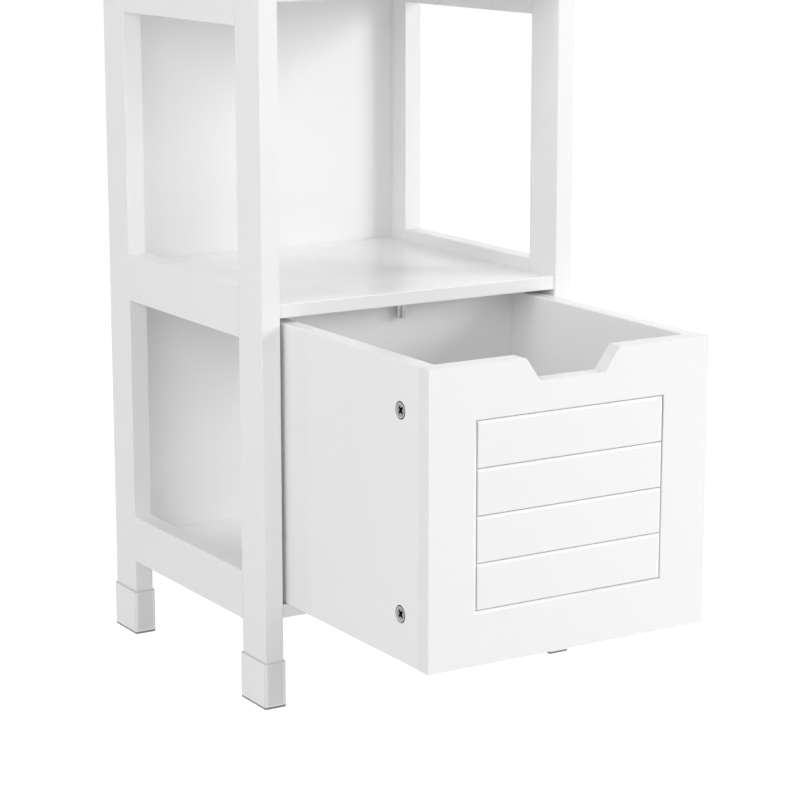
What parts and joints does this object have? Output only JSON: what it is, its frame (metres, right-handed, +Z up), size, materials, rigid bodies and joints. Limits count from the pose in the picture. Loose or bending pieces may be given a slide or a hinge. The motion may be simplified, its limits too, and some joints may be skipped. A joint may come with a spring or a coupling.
{
  "type": "bathroom storage tower",
  "caption": "Tall narrow storage tower: open shelves and a thin back panel between ladder side frames, one drawer with a grooved front and finger notch, capped legs.",
  "frame": {"origin": "on the floor, in the middle of the floor area that the tower takes up with its drawer open, as it is at rest", "axes": "+Z up, the drawer opens towards -Y, +X to the right seen from the front"},
  "size_m": [0.323, 0.5302, 1.444],
  "materials": {
    "white_lacquer": "satin white lacquer on fibreboard",
    "white_panel": "white-faced thin fibreboard",
    "frosted_plastic": "frosted translucent white",
    "zinc_alloy": "dull die-cast grey",
    "plated_steel": "bright zinc plate",
    "bright_steel": "polished",
    "beech": "bare fluted dowel rod"
  },
  "bodies": {
    "cabinet": {"left_front_stile": "white_lacquer", "left_back_stile": "white_lacquer", "right_front_stile": "white_lacquer", "right_back_stile": "white_lacquer", "left_rail_1": "white_lacquer", "left_rail_2": "white_lacquer", "left_rail_3": "white_lacquer", "left_rail_4": "white_lacquer", "left_rail_5": "white_lacquer", "left_rail_6": "white_lacquer", "right_rail_1": "white_lacquer", "right_rail_2": "white_lacquer", "right_rail_3": "white_lacquer", "right_rail_4": "white_lacquer", "right_rail_5": "white_lacquer", "right_rail_6": "white_lacquer", "left_front_foot_cap": "frosted_plastic", "left_back_foot_cap": "frosted_plastic", "right_front_foot_cap": "frosted_plastic", "right_back_foot_cap": "frosted_plastic", "floor_board": "white_lacquer", "shelf_1": "white_lacquer", "shelf_2": "white_lacquer", "shelf_3": "white_lacquer", "shelf_4": "white_lacquer", "top_board": "white_lacquer", "back_panel": "white_panel", "stop_pin": "bright_steel", "frame_dowels": "beech", "board_dowels": "beech", "board_cam_locks": "zinc_alloy", "board_cam_bolts": "plated_steel", "top_cam_locks": "zinc_alloy", "top_cam_bolts": "plated_steel"},
    "drawer": {"drawer_front": "white_lacquer", "drawer_left_side": "white_lacquer", "drawer_right_side": "white_lacquer", "drawer_back": "white_lacquer", "drawer_bottom": "white_panel", "drawer_side_cam_locks": "zinc_alloy", "drawer_back_cam_locks": "zinc_alloy", "drawer_cam_bolts": "plated_steel", "drawer_dowels": "beech"}
  },
  "joints": [
    {"name": "drawer_slide", "type": "slide", "parent": "cabinet", "child": "drawer", "axis": [0, -1, 0], "range_m": [-0.2287, 0]}
  ]
}
